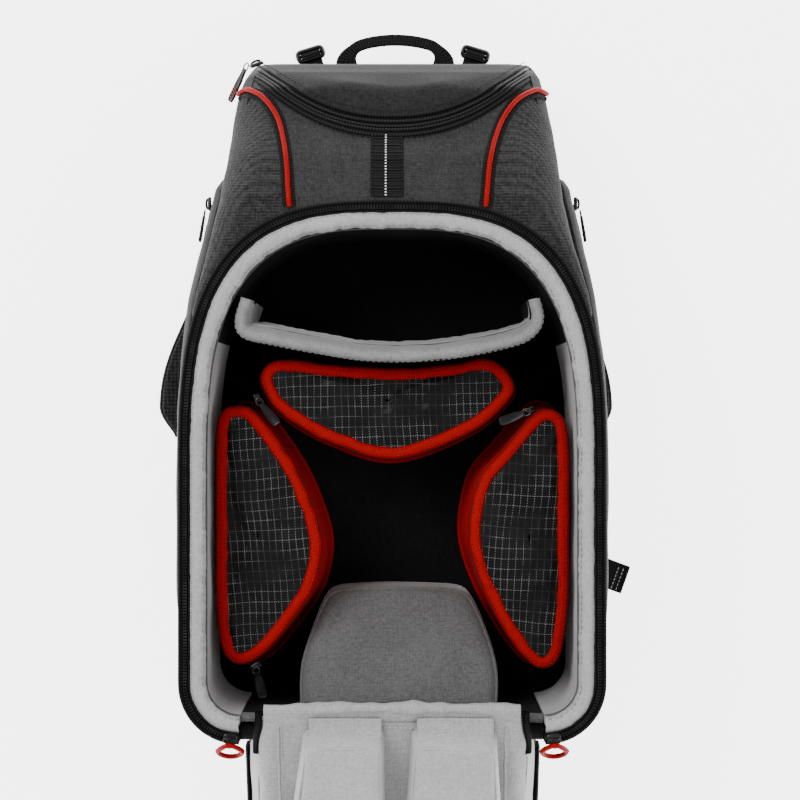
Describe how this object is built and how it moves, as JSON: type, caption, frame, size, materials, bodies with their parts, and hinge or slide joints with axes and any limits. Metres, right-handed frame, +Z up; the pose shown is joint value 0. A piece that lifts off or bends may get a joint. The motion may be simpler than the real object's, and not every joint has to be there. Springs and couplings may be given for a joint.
{
  "type": "drone carrying case",
  "caption": "Soft backpack case for a quadcopter, lying on its back with the front flap folded open over padded bays and windowed pouches.",
  "frame": {"origin": "centre of the face that the main back pad rests on, at the table", "axes": "+Z up out of the open bay, +Y towards the head end with the grab handle, +X to the wearer's right"},
  "size_m": [0.4008, 0.8961, 0.2183],
  "materials": {
    "outer_fabric": "coarse charcoal polyester weave",
    "side_fabric": "ribbed charcoal mesh-look weave",
    "back_mesh": "black air mesh",
    "lining": "light grey brushed lining",
    "flap_lining": "mid grey fine woven lining",
    "floor": "black brushed lining",
    "red_trim": "red nylon",
    "window": "black ripstop mesh in a red binding",
    "webbing": "black webbing",
    "zip_tape": "black coil zip on woven tape",
    "hardware": "black moulded nylon",
    "slider_metal": "black-plated zinc"
  },
  "bodies": {
    "case": {"back_panel": "side_fabric", "back_pad_main": "back_mesh", "back_pad_lumbar": "back_mesh", "bay_floor": "floor", "lower_panel": "outer_fabric", "side_panel_left": "side_fabric", "side_panel_right": "side_fabric", "hood_panel": "outer_fabric", "lining_left": "lining", "lining_right": "lining", "lining_arch": "lining", "lining_lower": "lining", "main_zip": "zip_tape", "lid_zip": "zip_tape", "lid_slider": "slider_metal", "piping_left": "red_trim", "piping_right": "red_trim", "hood_webbing": "webbing", "main_slider_left": "slider_metal", "main_slider_right": "slider_metal", "side_pocket_left": "side_fabric", "side_pocket_right": "side_fabric", "pocket_slider_left": "slider_metal", "pocket_slider_right": "slider_metal", "lifter_buckle_left": "hardware", "lifter_buckle_right": "hardware", "lower_webbing_left": "webbing", "lower_webbing_right": "webbing", "strap_tail": "webbing"},
    "front_flap": {"flap_shell": "outer_fabric", "flap_lining": "flap_lining", "battery_pocket_left": "flap_lining", "battery_pocket_right": "flap_lining"},
    "wing_left": {"flap_wing_left": "flap_lining"},
    "wing_right": {"flap_wing_right": "flap_lining"},
    "lid": {"head_lid": "outer_fabric"},
    "handle": {"grab_handle": "webbing"},
    "strap_left": {"shoulder_strap_left": "back_mesh", "ladder_lock_left": "hardware"},
    "strap_right": {"shoulder_strap_right": "back_mesh", "ladder_lock_right": "hardware"},
    "cradle": {"controller_cradle": "lining"},
    "bolster": {"bay_bolster": "flap_lining"},
    "pull_main_left": {"main_pull_left": "red_trim"},
    "pull_main_right": {"main_pull_right": "red_trim"},
    "pull_lid": {"lid_pull": "hardware"},
    "pull_pocket_left": {"pocket_pull_left": "hardware"},
    "pull_pocket_right": {"pocket_pull_right": "hardware"},
    "pouch_top": {"pouch_tray_top": "red_trim", "pouch_slider_top": "slider_metal"},
    "pouch_top_lid": {"pouch_lid_top": "window"},
    "pull_pouch_top": {"pouch_pull_top": "hardware"},
    "pouch_left": {"pouch_tray_left": "red_trim", "pouch_slider_left": "slider_metal"},
    "pouch_left_lid": {"pouch_lid_left": "window"},
    "pull_pouch_left": {"pouch_pull_left": "hardware"},
    "pouch_right": {"pouch_tray_right": "red_trim", "pouch_slider_right": "slider_metal"},
    "pouch_right_lid": {"pouch_lid_right": "window"},
    "pull_pouch_right": {"pouch_pull_right": "hardware"}
  },
  "joints": [
    {"name": "flap_hinge", "type": "hinge", "parent": "case", "child": "front_flap", "pos_m": [0, -0.24, 0.206], "axis": [-1, 0, 0], "range_deg": [0, 206.5]},
    {"name": "wing_left_fold", "type": "hinge", "parent": "front_flap", "child": "wing_left", "pos_m": [-0.0923, -0.2342, 0.19437], "axis": [0, 0.8949, 0.4462], "range_deg": [0, 80]},
    {"name": "wing_right_fold", "type": "hinge", "parent": "front_flap", "child": "wing_right", "pos_m": [0.0923, -0.2342, 0.19437], "axis": [0, -0.8949, -0.4462], "range_deg": [0, 80]},
    {"name": "lid_hinge", "type": "hinge", "parent": "case", "child": "lid", "pos_m": [0, 0.2785, 0.0515], "axis": [-1, 0, 0], "range_deg": [0, 80]},
    {"name": "handle_hinge", "type": "hinge", "parent": "case", "child": "handle", "pos_m": [0, 0.2795, 0.033], "axis": [-1, 0, 0], "range_deg": [-55, 10]},
    {"name": "strap_left_hinge", "type": "hinge", "parent": "case", "child": "strap_left", "pos_m": [-0.062, 0.226, 0.0135], "axis": [1, 0, 0], "range_deg": [0, 35]},
    {"name": "strap_right_hinge", "type": "hinge", "parent": "case", "child": "strap_right", "pos_m": [0.062, 0.226, 0.0135], "axis": [1, 0, 0], "range_deg": [0, 35]},
    {"name": "pouch_top_lift", "type": "slide", "parent": "case", "child": "pouch_top", "axis": [0, 0, -1], "range_m": [-0.165, 0]},
    {"name": "pouch_left_lift", "type": "slide", "parent": "case", "child": "pouch_left", "axis": [0, 0, -1], "range_m": [-0.165, 0]},
    {"name": "pouch_right_lift", "type": "slide", "parent": "case", "child": "pouch_right", "axis": [0, 0, -1], "range_m": [-0.165, 0]},
    {"name": "pouch_top_lid_hinge", "type": "hinge", "parent": "pouch_top", "child": "pouch_top_lid", "pos_m": [0, 0.033, 0.1529], "axis": [1, 0, 0], "range_deg": [-62, 0]},
    {"name": "pouch_left_lid_hinge", "type": "hinge", "parent": "pouch_left", "child": "pouch_left_lid", "pos_m": [-0.14, -0.1, 0.1529], "axis": [0, 1, 0], "range_deg": [-80, 0]},
    {"name": "pouch_right_lid_hinge", "type": "hinge", "parent": "pouch_right", "child": "pouch_right_lid", "pos_m": [0.14, -0.1, 0.1529], "axis": [0, -1, 0], "range_deg": [-80, 0]},
    {"name": "pouch_top_pull_hinge", "type": "hinge", "parent": "pouch_top", "child": "pull_pouch_top", "pos_m": [-0.107, 0.001, 0.1484], "axis": [-0.7809, -0.6247, 0], "range_deg": [0, 100]},
    {"name": "pouch_left_pull_hinge", "type": "hinge", "parent": "pouch_left", "child": "pull_pouch_left", "pos_m": [-0.1085, -0.211, 0.1484], "axis": [-0.9701, -0.2425, 0], "range_deg": [0, 100]},
    {"name": "pouch_right_pull_hinge", "type": "hinge", "parent": "pouch_right", "child": "pull_pouch_right", "pos_m": [0.109, -0.0085, 0.1484], "axis": [-0.3457, 0.9383, 0], "range_deg": [0, 100]},
    {"name": "cradle_lift", "type": "slide", "parent": "case", "child": "cradle", "axis": [0, 0, -1], "range_m": [-0.165, 0]},
    {"name": "bolster_lift", "type": "slide", "parent": "case", "child": "bolster", "axis": [0, 0, -1], "range_m": [-0.165, 0]},
    {"name": "main_pull_left_hinge", "type": "hinge", "parent": "case", "child": "pull_main_left", "pos_m": [-0.125, -0.27, 0.204], "axis": [-1, 0, 0], "range_deg": [0, 150]},
    {"name": "main_pull_right_hinge", "type": "hinge", "parent": "case", "child": "pull_main_right", "pos_m": [0.125, -0.27, 0.204], "axis": [-1, 0, 0], "range_deg": [0, 150]},
    {"name": "lid_pull_hinge", "type": "hinge", "parent": "case", "child": "pull_lid", "pos_m": [-0.11621, 0.26997, 0.12149], "axis": [-0.8944, 0.4472, 0], "range_deg": [0, 68]},
    {"name": "pocket_pull_left_hinge", "type": "hinge", "parent": "case", "child": "pull_pocket_left", "pos_m": [-0.15116, 0.153, 0.112], "axis": [0, 0, -1], "range_deg": [0, 110]},
    {"name": "pocket_pull_right_hinge", "type": "hinge", "parent": "case", "child": "pull_pocket_right", "pos_m": [0.15116, 0.153, 0.112], "axis": [0, 0, 1], "range_deg": [0, 110]}
  ],
  "couplings": [
    {"joint": "wing_left_fold", "follows": "flap_hinge", "ratio": 0.3874},
    {"joint": "wing_right_fold", "follows": "flap_hinge", "ratio": 0.3874}
  ]
}
